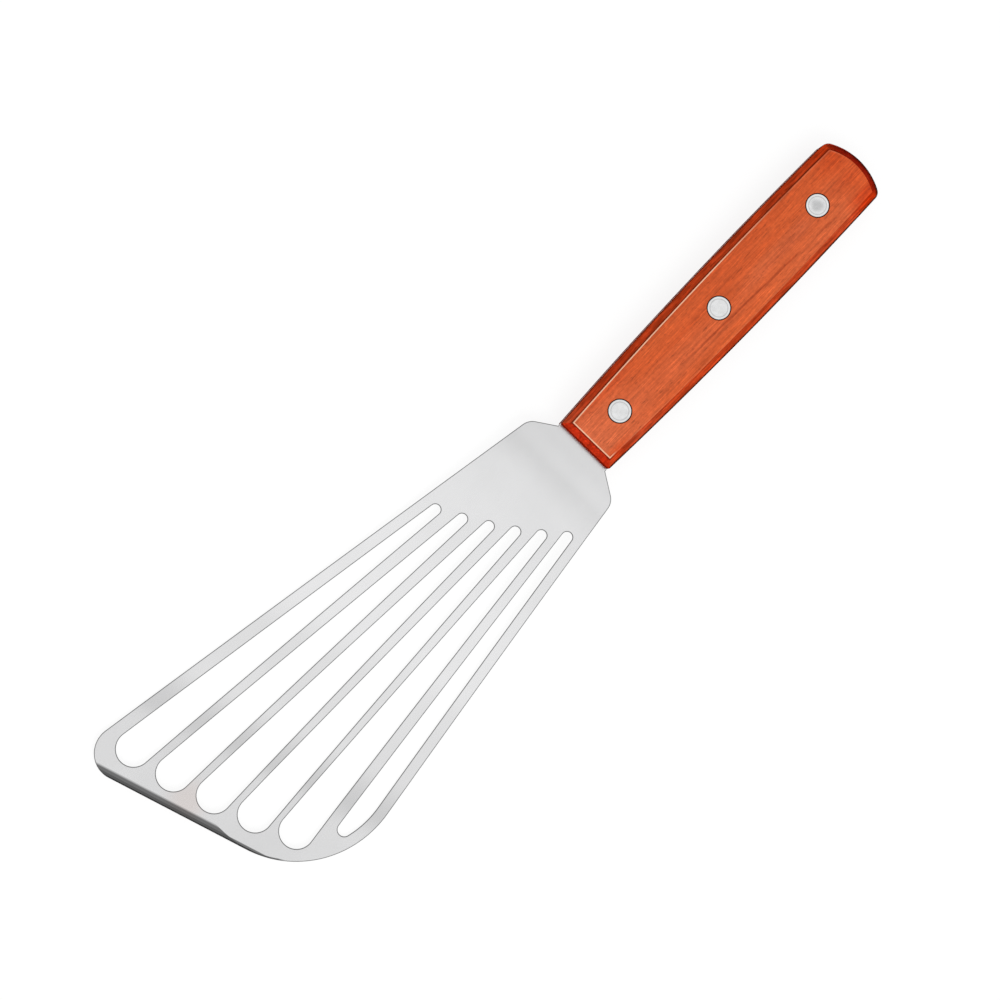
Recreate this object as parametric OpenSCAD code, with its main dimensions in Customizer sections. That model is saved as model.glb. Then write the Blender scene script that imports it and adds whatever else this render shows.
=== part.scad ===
// Slotted fish turner: one springy sheet of steel runs from the front edge to the butt of the handle.
// Two wooden scales sit on its tang and three two-piece rivets hold them together.
// It lies on the bench. +X runs along the handle towards the blade, +Z is up, and the origin is on the
// underside of the handle at the axis of the middle rivet. The blade's long side is on -Y.

/* [Handle] */
// Length from the front face to the butt
handle_len = 122.6; // [118:0.2:140]
// Width at the front face
handle_front_w = 20.2; // [18:0.1:22]
// Width at the widest place
handle_max_w = 24; // [23:0.1:28]
// Distance from the front face to the widest place
handle_wide_at = 79; // [65:1:95]
// Thickness of one wooden scale
scale_t = 7.5; // [6:0.1:9]
// Width of the 45 degree chamfer round the outer face of a scale
chamfer = 2.4; // [1:0.1:3]
// Radius of the rounded butt
butt_r = 21; // [17:0.5:30]
// Radius of the two corners of the butt
butt_corner_r = 2.8; // [1:0.1:4]

/* [Rivets] */
// Distance from the front face to the first rivet
rivet_setback = 14.9; // [12:0.1:20]
// Distance from the butt to the last rivet
butt_setback = 19.7; // [14:0.1:26]
// Diameter of a rivet head
head_d = 7.1; // [6.4:0.1:8.4]
// Thickness of a rivet head
head_t = 1.6; // [1:0.1:2.4]
// Bevel round the rim of a rivet head
head_bevel = 0.25; // [0.1:0.05:0.5]
// Outer diameter of the rivet's tube
tube_d = 4.2; // [3.8:0.1:5]
// Diameter of the post inside the tube
post_d = 3; // [2:0.1:3.2]
// Gap round a tube or a head in its hole
hole_clear = 0.1; // [0.05:0.01:0.3]
// Gap round the post in its tube
post_clear = 0.03; // [0.02:0.01:0.1]
// Gap left at the end of a post and of a tube
tip_gap = 0.4; // [0.2:0.1:0.8]

/* [Blade outline] */
// Distance along the axis from the handle to the front edge
blade_len = 163.9; // [156:0.5:178]
// Slant of the front edge from square
front_skew = 16; // [4:0.5:20]
// Distance from the axis to the line of the long side, at the handle
long_root = 16.9; // [15:0.1:18]
// Angle of the long side to the axis
long_angle = 9.7; // [8.9:0.1:12]
// Distance from the axis to the line of the short side, at the handle
short_root = 17.5; // [17:0.1:19]
// Angle of the short side to the axis
short_angle = 8.3; // [8:0.1:12]
// Length of the neck that keeps the width of the handle
neck_len = 0.8; // [0.4:0.1:3]
// Angle of the two shoulders to the axis
shoulder_angle = 57; // [45:1:75]
// Radius where a shoulder turns into a side
shoulder_r = 5; // [2:0.5:8]
// Radius of the front corner on the long side
long_corner_r = 8.5; // [5:0.5:12]
// Radius of the front corner on the short side
short_corner_r = 34; // [28:0.5:40]

/* [Slots] */
// Number of full slots in the fan
slots = 5; // [3:1:5]
// Steel left between the first slot and the front edge
front_margin = 5.8; // [4:0.1:8]
// Steel left between the first slot and the long side
long_margin = 4.2; // [3:0.1:6]
// Steel left between the last slot and the short side with its big front corner
short_margin = 3.6; // [3:0.1:6]
// Distance along the axis from the handle to the rear end of the first slot
plate_len = 45.5; // [42:0.5:60]
// How far each slot lies behind the one before it
slot_step = 4.45; // [3.8:0.05:5]
// Radius of the front end of a slot
slot_front_r = 5.45; // [4.5:0.05:5.7]
// Radius of the rear end of a slot
slot_rear_r = 1.7; // [1.3:0.05:2.2]
// Radius that the last slot would reach at its front end
side_slot_r = 3.4; // [2.6:0.1:3.6]
// Radius that rounds the clipped tip of the last slot
side_slot_tip_r = 2.1; // [1.5:0.1:2.4]

/* [Blade profile] */
// Thickness of the steel sheet
sheet_t = 1; // [0.8:0.05:1.3]
// Length of straight neck in front of the handle
neck_run = 4; // [2:0.5:8]
// Radius of the downward bend at the neck
neck_r = 60; // [30:5:120]
// Length of the level part between the downward sweep and the upward bend, on the axis
level_run = 22.2; // [16:0.1:40]
// Width of the turned-up strip along the front edge
toe_run = 30; // [20:0.5:35]
// Radius of the upward bend
toe_r = 80; // [50:5:100]
// Angle of the turned-up strip
toe_angle = 8; // [4:0.5:12]
// Width of the ground bevel on the front edge
bevel_w = 1.2; // [0.6:0.1:2.5]
// Thickness left at the front edge
edge_t = 0.35; // [0.2:0.05:0.6]

/* [Hidden] */

$fn = 64;
// Steps along a long, a middling and a short arc of an outline
long_steps = 20;
mid_steps = 16;
short_steps = 8;
// Steps along each bend of the sheet
bend_steps = 12;
// Length by which a cutter stands past what it cuts
over = 2;

rivet_pitch = (handle_len - rivet_setback - butt_setback) / 2;
front_x = rivet_setback + rivet_pitch;
rear_x = front_x - handle_len;
handle_t = 2 * scale_t + sheet_t;
mid_z = scale_t + sheet_t / 2;
rivet_xs = [rivet_pitch, 0, -rivet_pitch];

// Handle outline: two long arcs, the butt's arc and two corner arcs, each tangent to the next
side_rise = (handle_max_w - handle_front_w) / 2;
side_r = (pow(handle_wide_at, 2) + pow(side_rise, 2)) / (2 * side_rise);
side_centre = [front_x - handle_wide_at, handle_max_w / 2 - side_r];
butt_centre = [rear_x + butt_r, 0];
corner_centre = meet(side_centre, side_r - butt_corner_r, butt_centre, butt_r - butt_corner_r);
side_start = heading([front_x, handle_front_w / 2] - side_centre);
side_end = heading(corner_centre - side_centre);
butt_start = heading(corner_centre - butt_centre);

// Blade outline: straight lines that meet at these points, before their corners are rounded
neck_x = front_x + neck_len;
neck_half = handle_front_w / 2;
long_line = [[front_x, -long_root], turn([1, 0], -long_angle)];
short_line = [[front_x, short_root], turn([1, 0], short_angle)];
front_line = [[front_x + blade_len, 0], turn([0, 1], front_skew)];
long_shoulder = crossing([[neck_x, -neck_half], turn([1, 0], -shoulder_angle)], long_line);
short_shoulder = crossing([[neck_x, neck_half], turn([1, 0], shoulder_angle)], short_line);
long_corner = crossing(long_line, front_line);
short_corner = crossing(short_line, front_line);

// Slots: they fan out from the point where the line of the long side meets the axis
fan_point = [front_x - long_root / tan(long_angle), 0];
first_front = crossing(moved(long_line, slot_front_r + long_margin),
                       moved(front_line, slot_front_r + front_margin));
fan_reach = norm(first_front - fan_point);
side_reach = fan_reach - slots * slot_step;
side_offset = side_slot_r + short_margin - right_of(short_line, fan_point);
fan_start = heading(first_front - fan_point);
slot_len = fan_reach - (front_x + plate_len - fan_point[0]) / cos(fan_start);
fan_pitch = (short_angle - asin(side_offset / side_reach) - fan_start) / slots;

// Sheet: the neck bends down, one large arc brings it level on the bench, the toe bends up
neck_bend_x = front_x + neck_run;
toe_bend_x = front_x + blade_len - toe_run / cos(front_skew);
flat_x = toe_bend_x - level_run;
sweep_run = flat_x - neck_bend_x;
drop = mid_z - sheet_t / 2;
sweep_angle = 2 * atan(drop / sweep_run);
sweep_r = sweep_run / sin(sweep_angle) - neck_r;
toe_bend_end = [toe_r * sin(toe_angle), sheet_t / 2 + toe_r * (1 - cos(toe_angle))];
// Width of the sheet before the outline trims it, which only has to exceed the blade's
sheet_w = blade_len;

// Length of a post and of a tube, each of which stops short of the other half's head
shank_len = handle_t - 2 * head_t - tip_gap;

function heading(v) = atan2(v[1], v[0]);
function turn(v, a) = [v[0] * cos(a) - v[1] * sin(a), v[0] * sin(a) + v[1] * cos(a)];
function unit(v) = v / norm(v);

// Point where two lines meet, each given as a point and a direction
function crossing(l, m) =
    let (d = m[0] - l[0],
         t = (d[0] * m[1][1] - d[1] * m[1][0]) / (l[1][0] * m[1][1] - l[1][1] * m[1][0]))
    l[0] + t * l[1];

// A line moved this far to its left
function moved(l, by) = [l[0] + by * [-l[1][1], l[1][0]], l[1]];

// Distance of a point from a line, on the line's right
function right_of(l, p) = (p - l[0]) * [l[1][1], -l[1][0]];

// Meeting point of two circles on the left of the way from the first centre to the second
function meet(c, r, d, s) =
    let (gap = norm(d - c),
         along = (gap * gap + r * r - s * s) / (2 * gap),
         across = sqrt(r * r - along * along),
         dir = unit(d - c))
    c + along * dir + across * [-dir[1], dir[0]];

// Points of an arc from one heading to another
function arc(c, r, from, to, steps) =
    [for (i = [0:steps]) let (a = from + (to - from) * i / steps) c + r * [cos(a), sin(a)]];

// Rounds the corner at p, between the corners before and after it
function rounded(before, p, after, r, steps) =
    let (u = unit(before - p),
         v = unit(after - p),
         half = acos(u * v) / 2,
         c = p + unit(u + v) * r / sin(half),
         side = (u[0] * v[1] - u[1] * v[0]) > 0 ? 1 : -1,
         mid = heading(p - c),
         spread = 90 - half)
    arc(c, r, mid + side * spread, mid - side * spread, steps);

function flipped(pts) = [for (i = [len(pts) - 1:-1:0]) [pts[i][0], -pts[i][1]]];

// One side of the handle from its front corner to the end of the butt
function handle_half() = concat(
    arc(side_centre, side_r, side_start, side_end, long_steps),
    arc(corner_centre, butt_corner_r, side_end, butt_start, short_steps),
    arc(butt_centre, butt_r, butt_start, 180, short_steps));

function handle_points() = concat(handle_half(), flipped(handle_half()));

function blade_points() =
    let (neck_long = [neck_x, -neck_half],
         neck_short = [neck_x, neck_half])
    concat(
        [[front_x, -neck_half], neck_long],
        rounded(neck_long, long_shoulder, long_corner, shoulder_r, short_steps),
        rounded(long_shoulder, long_corner, short_corner, long_corner_r, mid_steps),
        rounded(long_corner, short_corner, short_shoulder, short_corner_r, long_steps),
        rounded(short_corner, short_shoulder, neck_short, shoulder_r, short_steps),
        [neck_short, [front_x, neck_half]]);

// Station on the toe's straight part, this far in front of its bend line
function toe_station(x) = [x, toe_bend_end[1] + (x - toe_bend_end[0]) * tan(toe_angle), toe_angle];

// A slot along +X between two round ends, tapering from the front radius to the rear radius
function slot_points(rear, front, rear_r, front_r) =
    let (taper = asin((front_r - rear_r) / (front - rear)))
    concat(
        arc([front, 0], front_r, -90 - taper, 90 + taper, mid_steps),
        arc([rear, 0], rear_r, 90 + taper, 270 - taper, short_steps));

// Puts a shape in the fan at the direction of slot i
module in_fan(i) {
    translate(fan_point)
        rotate(fan_start + i * fan_pitch)
            children();
}

module full_slot(i) {
    front = fan_reach - i * slot_step;
    in_fan(i) polygon(slot_points(front - slot_len, front, slot_rear_r, slot_front_r));
}

// The last slot is clipped by the big front corner, and its tip is rounded again
module side_slot(i) {
    rear = side_reach - slot_len;
    middle = side_reach - slot_len / 2;
    middle_r = (slot_rear_r + side_slot_r) / 2;
    in_fan(i) polygon(slot_points(rear, middle, slot_rear_r, middle_r));
    offset(r = side_slot_tip_r, $fn = 48)
        offset(delta = -side_slot_tip_r)
            intersection() {
                in_fan(i) polygon(slot_points(middle, side_reach, middle_r, side_slot_r));
                offset(delta = -short_margin) polygon(blade_points());
            }
}

module slot_pattern() {
    for (i = [0:slots - 1]) full_slot(i);
    side_slot(slots);
}

// Rivet holes, through everything between the two heads
module rivet_holes() {
    for (x = rivet_xs)
        translate([x, 0, -over]) cylinder(d = tube_d + 2 * hole_clear, h = handle_t + 2 * over);
}

// Stations of the sheet's centre line as [x, z, slope] along an arc, after its start. The arc is level
// at the given point, and its radius is negative where the sheet bends down.
function bend(level, r, from, to) =
    [for (i = [1:bend_steps])
        let (a = from + (to - from) * i / bend_steps)
        [level[0] + r * sin(a), level[1] + r * (1 - cos(a)), a]];

// Side view of all that lies below a line which runs this far above the sheet's centre line
function below(line, rise, floor) = concat(
    [for (p = line) [p[0], p[1]] + rise * [-sin(p[2]), cos(p[2])]],
    [[line[len(line) - 1][0], floor], [line[0][0], floor]]);

// Extrudes a side view over the whole width of the sheet
module across() {
    translate([0, sheet_w / 2, 0])
        rotate([90, 0, 0])
            linear_extrude(sheet_w)
                children();
}

module at_toe() {
    translate([toe_bend_x, 0, 0])
        rotate([0, 0, front_skew])
            children();
}

// All that lies below the sheet's upper face or, with a negative rise, below its lower face. One side
// view has the tang, the neck, the sweep down to the bench and the level part, and one has the toe.
module below_sheet(rise, floor) {
    tang = [[rear_x - over, mid_z, 0], [neck_bend_x, mid_z, 0]];
    neck = bend([neck_bend_x, mid_z], -neck_r, 0, -sweep_angle);
    sweep = bend([flat_x, sheet_t / 2], sweep_r, -sweep_angle, 0);
    level = [[front_x + 2 * blade_len, sheet_t / 2, 0]];
    toe_level = [[-blade_len, sheet_t / 2, 0], [0, sheet_t / 2, 0]];
    toe = bend([0, sheet_t / 2], toe_r, 0, toe_angle);
    across() polygon(below(concat(tang, neck, sweep, level), rise, floor));
    at_toe() across() polygon(below(concat(toe_level, toe, [toe_station(toe_run + over)]), rise, floor));
}

// Takes the upper corner off the front edge, which leaves it thin
module edge_grind() {
    grind_angle = atan((sheet_t - edge_t) / bevel_w);
    end = toe_station(toe_run);
    at_toe()
        translate([end[0], 0, end[1]])
            rotate([0, -toe_angle, 0])
                translate([0, 0, edge_t - sheet_t / 2])
                    rotate([0, grind_angle, 0])
                        translate([-5 * bevel_w, -sheet_w / 2, 0])
                            cube([10 * bevel_w, sheet_w, 4 * sheet_t]);
}

module blade() {
    color([0.86, 0.86, 0.87])
        difference() {
            intersection() {
                difference() {
                    below_sheet(sheet_t / 2, -over);
                    below_sheet(-sheet_t / 2, -2 * over);
                }
                translate([0, 0, -over])
                    linear_extrude(handle_t + 2 * over)
                        difference() {
                            polygon(concat(blade_points(), handle_points()));
                            slot_pattern();
                        }
            }
            edge_grind();
            rivet_holes();
        }
}

// One scale lying on its inner face, with the chamfer round its outer face
module scale_blank() {
    difference() {
        hull() {
            linear_extrude(scale_t - chamfer) polygon(handle_points());
            linear_extrude(scale_t) offset(delta = -chamfer) polygon(handle_points());
        }
        for (x = rivet_xs)
            translate([x, 0, scale_t - head_t]) cylinder(d = head_d + 2 * hole_clear, h = head_t + over);
        rivet_holes();
    }
}

module upper_scale() {
    color([0.78, 0.36, 0.19]) translate([0, 0, scale_t + sheet_t]) scale_blank();
}

module lower_scale() {
    color([0.76, 0.34, 0.18]) translate([0, 0, scale_t]) mirror([0, 0, 1]) scale_blank();
}

// Half section of a rivet head with its outer face on the X axis and the shank side up
module head_section() {
    polygon([
        [0, 0],
        [head_d / 2 - head_bevel, 0],
        [head_d / 2, head_bevel],
        [head_d / 2, head_t],
        [0, head_t]]);
}

// The upper half of a rivet: a head with a solid post
module post(x) {
    color([0.84, 0.84, 0.85])
        translate([x, 0, handle_t])
            mirror([0, 0, 1])
                rotate_extrude() {
                    head_section();
                    translate([0, head_t]) square([post_d / 2, shank_len]);
                }
}

// The lower half of a rivet: a head with a tube that takes the post
module socket(x) {
    color([0.82, 0.82, 0.83])
        translate([x, 0, 0])
            rotate_extrude() {
                head_section();
                translate([post_d / 2 + post_clear, head_t])
                    square([(tube_d - post_d) / 2 - post_clear, shank_len]);
            }
}

module rivet_front_post() { post(rivet_xs[0]); }
module rivet_front_socket() { socket(rivet_xs[0]); }
module rivet_middle_post() { post(rivet_xs[1]); }
module rivet_middle_socket() { socket(rivet_xs[1]); }
module rivet_rear_post() { post(rivet_xs[2]); }
module rivet_rear_socket() { socket(rivet_xs[2]); }

blade();
upper_scale();
lower_scale();
rivet_front_post();
rivet_front_socket();
rivet_middle_post();
rivet_middle_socket();
rivet_rear_post();
rivet_rear_socket();
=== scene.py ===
from math import acos, asin, atan2, ceil, cos, hypot, pi, radians, sin, sqrt, tan

import bpy
from mathutils import Matrix, Vector
from mathutils.geometry import delaunay_2d_cdt


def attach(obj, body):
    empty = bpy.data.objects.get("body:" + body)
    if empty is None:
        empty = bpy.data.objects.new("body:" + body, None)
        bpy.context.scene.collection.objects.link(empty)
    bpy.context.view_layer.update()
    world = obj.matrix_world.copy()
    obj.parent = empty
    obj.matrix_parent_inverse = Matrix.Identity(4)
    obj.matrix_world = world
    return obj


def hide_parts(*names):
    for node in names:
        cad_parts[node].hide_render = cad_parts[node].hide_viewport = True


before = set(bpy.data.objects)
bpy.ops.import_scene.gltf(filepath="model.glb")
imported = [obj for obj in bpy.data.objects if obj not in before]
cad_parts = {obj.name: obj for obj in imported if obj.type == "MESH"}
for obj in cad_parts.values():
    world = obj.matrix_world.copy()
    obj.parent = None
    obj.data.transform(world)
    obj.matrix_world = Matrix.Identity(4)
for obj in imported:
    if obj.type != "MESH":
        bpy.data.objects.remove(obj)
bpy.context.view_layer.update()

# Lengths are in millimetres and angles in radians, save where a comment says otherwise.
# The frame and the nodes' coordinates are in metres
MM = 0.001
BODY = "root"

# Sizes of the real object, as in the source of the solids
HANDLE_LEN, FRONT_W, MAX_W, WIDE_AT = 122.6, 20.2, 24.0, 79.0
SCALE_T, CHAMFER, BUTT_R, BUTT_CORNER_R = 7.5, 2.4, 21.0, 2.8
RIVET_SETBACK, RIVET_PITCH = 14.9, 44.0
HEAD_D, HEAD_T, TUBE_D, POST_D = 7.1, 1.6, 4.2, 3.0
HOLE_CLEAR, POST_CLEAR, TIP_GAP = 0.1, 0.03, 0.4
BLADE_LEN, FRONT_SKEW = 163.9, radians(16)
LONG_ROOT, LONG_ANGLE = 16.9, radians(9.7)
SHORT_ROOT, SHORT_ANGLE = 17.5, radians(8.3)
NECK_LEN, SHOULDER_ANGLE, SHOULDER_R = 0.8, radians(57), 5.0
LONG_CORNER_R, SHORT_CORNER_R = 8.5, 34.0
SLOTS, FRONT_MARGIN, LONG_MARGIN, SHORT_MARGIN = 5, 5.8, 4.2, 3.6
PLATE_LEN, SLOT_STEP = 45.5, 4.45
SLOT_FRONT_R, SLOT_REAR_R, SIDE_SLOT_R, SIDE_TIP_R = 5.45, 1.7, 3.4, 2.1
SHEET_T, NECK_RUN, NECK_R, LEVEL_RUN = 1.0, 4.0, 60.0, 22.2
TOE_RUN, TOE_R, TOE_ANGLE = 30.0, 80.0, radians(8)
BEVEL_W, EDGE_T = 1.2, 0.35

# Roundings that only the looks have: the steel's edges, the wood's, then holes, heads and shanks
STEEL_EDGE_R = 0.35
WOOD_INNER_R, WOOD_SIDE_R, WOOD_TOP_R, WOOD_CORNER_R = 0.15, 0.6, 0.8, 0.5
HOLE_RIM_R, HEAD_RIM_R, SHANK_RIM_R = 0.15, 0.1, 0.2
# The skins lie this far inside the solids' arcs
WITHIN = 0.01
# Widths of the painted shade lines beside the wood's edges and round the rivets
CREASE_W, HOLE_CREASE_W = 0.3, 0.1
# A rivet head's flat middle is divided at this radius, and a shallow ring is pressed round it
HEAD_SPLIT_R = 1.2
RING_IN, RING_OUT, RING_DEPTH, RING_TILT = 2.55, 3.0, 0.015, radians(7)

# The longest step along an arc of each kind, and along a straight edge
CORNER_ARC, BIG_CORNER_ARC = 0.4, 0.8
SLOT_FRONT_ARC, SLOT_REAR_ARC, SLOT_CLIP_ARC, HOLE_ARC = 0.35, 0.25, 0.6, 0.3
SIDE_STEP = 3
# Steps along the handle's outline: front corner, side, rear corner and half the butt
HANDLE_STEPS = (6, 40, 12, 16)
# Steps round a turned piece or a hole in the wood, and round the rim of a turned piece
CIRCLE_STEPS, RIM_STEPS = 64, 5
# Where the sheet's plan is cut across, from the handle's rear end, from the neck's bend and from
# the toe's bend. Then the step of the cuts along the sweep, and half the length of a cut
TANG_CUTS = [6 * i for i in range(1, 21)]
NECK_CUTS = [0.8 * i for i in range(11)]
TOE_CUTS = [0.8 * i for i in range(15)] + [14, 17, 20, 23, 26]
SWEEP_CUT, CUT_HALF = 3, 60
# Points of a plan nearer than MERGE become one, and triangles lower than LEAST_HEIGHT are left out
MERGE, LEAST_HEIGHT = 0.005, 0.001
# Neighbours on an outline, or heights, nearer than SLACK are the same. A point nearer than ON_LINE
# to a line is on it
SLACK, ON_LINE = 1e-4, 1e-3
# An outline's sharpest corners move by at most 1 / MITRE of an inset
MITRE = 0.4

# Each point of a skin has two marks that the materials read: rim darkens it, partly as painted
# shade, or dulls it, and edge is 1 where a highlight is painted on the wood and -1 where shade is
# painted on it.
# Rim marks over the sheet's rounded edge, from its face to its side, where shade is painted
SHEET_MARKS = (0.0, 0.5, 1.0, 1.0, 0.5)
# A scale's edge marks paint a highlight where they are above 0 and shade where they are below. They
# are near on its front and on its side at -Y, and far elsewhere. On the butt, butt is added to
# them.
# Where the wall turns into the chamfer: near and far
WALL_MARKS = ((-0.5, -0.8), (-0.3, -0.9), (-0.2, -1.0), (-0.1, -1.0), (0.0, -1.0))
# Next, on the chamfer: how far up and in, far and butt
CHAMFER_MARKS = ((0.2, -0.9, 0.0), (0.4, 0.0, -0.6))
# Last, where the chamfer turns into the outer face: rim, near and far
TOP_MARKS = ((1.0, -1.0, -0.3), (0.7, 0.4, 0.0), (0.4, 1.0, 0.06), (0.1, 1.0, 0.06),
             (0.0, 0.0, 0.0))
# near and butt begin where the outline's normal leans that way by this much, and are in full where
# it leans by MARK_RISE more
NEAR_FROM, BUTT_FROM, MARK_RISE = 0.1, 0.3, 0.3

FRONT_X = RIVET_SETBACK + RIVET_PITCH
REAR_X = FRONT_X - HANDLE_LEN
HANDLE_T = 2 * SCALE_T + SHEET_T
MID_Z = SCALE_T + SHEET_T / 2
RIVET_XS = {"front": RIVET_PITCH, "middle": 0.0, "rear": -RIVET_PITCH}


def heading(v):
    return atan2(v[1], v[0])


def turned(v, a):
    return (v[0] * cos(a) - v[1] * sin(a), v[0] * sin(a) + v[1] * cos(a))


def crossing(one, other):
    """The point where two lines meet, each given as a point and a direction."""
    (x, y), (ux, uy) = one
    (other_x, other_y), (vx, vy) = other
    dx, dy = other_x - x, other_y - y
    t = (dx * vy - dy * vx) / (ux * vy - uy * vx)
    return (x + t * ux, y + t * uy)


def moved(line, by):
    """A line moved to its left."""
    (x, y), (ux, uy) = line
    return ((x - by * uy, y + by * ux), line[1])


def right_of(line, p):
    """Distance of a point from a line, on the line's right."""
    (x, y), (ux, uy) = line
    return (p[0] - x) * uy - (p[1] - y) * ux


def arc(c, r, start, end, step):
    """Points of an arc from one heading to another, no further apart than step."""
    n = max(3, ceil(abs(end - start) * r / step))
    turns = [start + (end - start) * i / n for i in range(n + 1)]
    return [(c[0] + r * cos(t), c[1] + r * sin(t)) for t in turns]


def round_corner(before, p, after, r, step):
    """The corner at p as an arc, and the arc's centre."""
    u = (Vector(before) - Vector(p)).normalized()
    v = (Vector(after) - Vector(p)).normalized()
    half = acos(u.dot(v)) / 2
    c = Vector(p) + (u + v).normalized() * r / sin(half)
    side = 1 if u.x * v.y - u.y * v.x > 0 else -1
    mid = heading(Vector(p) - c)
    spread = pi / 2 - half
    return arc(c, r, mid + side * spread, mid - side * spread, step), c


def closed(loop):
    """The pairs of neighbours round a closed loop."""
    return zip(loop, loop[1:] + loop[:1])


def tidy(loop, step=None):
    """The closed loop without doubled points. Where step is given, longer stretches are divided."""
    out = []
    for a, b in closed(loop):
        d = hypot(b[0] - a[0], b[1] - a[1])
        if d > SLACK:
            n = ceil(d / step) if step else 1
            out += [(a[0] + (b[0] - a[0]) * i / n, a[1] + (b[1] - a[1]) * i / n)
                    for i in range(n)]
    return out


def inset(loop, by):
    """The closed loop moved to the left of its way round."""
    out = []
    for i, p in enumerate(loop):
        a, b = loop[i - 1], loop[(i + 1) % len(loop)]
        u = Vector((p[0] - a[0], p[1] - a[1])).normalized()
        v = Vector((b[0] - p[0], b[1] - p[1])).normalized()
        m = Vector((-u.y - v.y, u.x + v.x)).normalized()
        m *= by / max(MITRE, m.dot(Vector((-v.y, v.x))))
        out.append((p[0] + m.x, p[1] + m.y))
    return out


def inside(p, loop):
    hit = False
    for (ax, ay), (bx, by) in closed(loop):
        if (ay > p[1]) != (by > p[1]) and p[0] < ax + (p[1] - ay) / (by - ay) * (bx - ax):
            hit = not hit
    return hit


def filled(outer, holes, cuts=()):
    """Points and triangles between an outline and its holes, divided along the cuts."""
    points, edges = [], []
    for loop in [outer] + holes:
        base = len(points)
        points += loop
        edges += [(base + i, base + (i + 1) % len(loop)) for i in range(len(loop))]
    for a, b in cuts:
        edges.append((len(points), len(points) + 1))
        points += [a, b]
    got = delaunay_2d_cdt([Vector(p) for p in points], edges, [], 0, MERGE)
    verts, tris = got[0], []
    for t in got[2]:
        a, b, c = (verts[i] for i in t)
        area = (b - a).cross(c - a)
        mid = (a + b + c) / 3
        flat = abs(area) < LEAST_HEIGHT * max((b - a).length, (c - b).length, (a - c).length)
        if not flat and inside(mid, outer) and not any(inside(mid, h) for h in holes):
            tris.append(t if area > 0 else t[::-1])
    return [(v.x, v.y) for v in verts], tris


def boundary(tris):
    """The closed loops of point numbers round some triangles."""
    sides = {(t[i], t[(i + 1) % 3]) for t in tris for i in range(3)}
    onward = {a: b for a, b in sides if (b, a) not in sides}
    loops = []
    while onward:
        loop, at = [], min(onward)
        while at in onward:
            loop.append(at)
            at = onward.pop(at)
        loops.append(loop)
    return loops


class Skin:
    """A mesh of patches that share their border points, with the true normal at each corner."""

    def __init__(self):
        self.index, self.points, self.faces, self.normals, self.marks = {}, [], [], [], []

    def corner(self, p, marks):
        key = tuple(round(c, 3) for c in p)
        if key not in self.index:
            self.index[key] = len(self.points)
            self.points.append(Vector(p) * MM)
            self.marks.append(marks)
        return self.index[key]

    def face(self, corners):
        """Adds a face of corners: each is a point and a normal, and then its marks if any."""
        found = []
        for p, n, *marks in corners:
            i = self.corner(p, marks or (0.0, 0.0))
            if i not in [f[0] for f in found]:
                found.append((i, n))
        if len(found) > 2:
            self.faces.append([f[0] for f in found])
            self.normals += [Vector(f[1]).normalized() for f in found]

    def band(self, lower, upper):
        """Joins two closed rings of corners."""
        for (a, b), (d, c) in zip(closed(lower), closed(upper)):
            self.face([a, b, c, d])

    def bands(self, rings, flip=False):
        """Joins each ring to the next, with the faces turned over if flip is set."""
        for lower, upper in zip(rings, rings[1:]):
            if flip:
                self.band(upper, lower)
            else:
                self.band(lower, upper)

    def piece(self, name, material, slot, *nodes):
        """Makes the object that stands for these CAD nodes."""
        mesh = bpy.data.meshes.new(name)
        mesh.from_pydata(self.points, [], self.faces)
        mesh.polygons.foreach_set("use_smooth", [True] * len(mesh.polygons))
        mesh.normals_split_custom_set(self.normals)
        for i, mark in enumerate(("rim", "edge")):
            values = [m[i] for m in self.marks]
            mesh.attributes.new(mark, "FLOAT", "POINT").data.foreach_set("value", values)
        mesh.materials.append(material)
        obj = bpy.data.objects.new(name, mesh)
        bpy.context.scene.collection.objects.link(obj)
        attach(obj, BODY)
        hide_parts(*nodes)


# The plan of the blade
NECK_X, NECK_HALF = FRONT_X + NECK_LEN, FRONT_W / 2
neck_long, neck_short = (NECK_X, -NECK_HALF), (NECK_X, NECK_HALF)
long_line = ((FRONT_X, -LONG_ROOT), turned((1, 0), -LONG_ANGLE))
short_line = ((FRONT_X, SHORT_ROOT), turned((1, 0), SHORT_ANGLE))
front_line = ((FRONT_X + BLADE_LEN, 0), turned((0, 1), FRONT_SKEW))
long_shoulder = crossing((neck_long, turned((1, 0), -SHOULDER_ANGLE)), long_line)
short_shoulder = crossing((neck_short, turned((1, 0), SHOULDER_ANGLE)), short_line)
long_corner = crossing(long_line, front_line)
short_corner = crossing(short_line, front_line)
big_arc, big_corner_c = round_corner(long_corner, short_corner, short_shoulder, SHORT_CORNER_R,
                                     BIG_CORNER_ARC)

# The plan of the handle: the side's arc and the butt's, and between them a corner's arc, whose
# centre lies where circles about their two centres cross
side_rise = (MAX_W - FRONT_W) / 2
side_r = (WIDE_AT ** 2 + side_rise ** 2) / (2 * side_rise)
side_c = Vector((FRONT_X - WIDE_AT, MAX_W / 2 - side_r))
butt_c = Vector((REAR_X + BUTT_R, 0))
gap = (butt_c - side_c).length
along = (gap ** 2 + (side_r - BUTT_CORNER_R) ** 2 - (BUTT_R - BUTT_CORNER_R) ** 2) / (2 * gap)
away = sqrt((side_r - BUTT_CORNER_R) ** 2 - along ** 2)
way = (butt_c - side_c) / gap
corner_c = side_c + along * way + away * Vector((-way.y, way.x))
side_end = heading(corner_c - side_c)
butt_start = heading(corner_c - butt_c)


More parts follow.
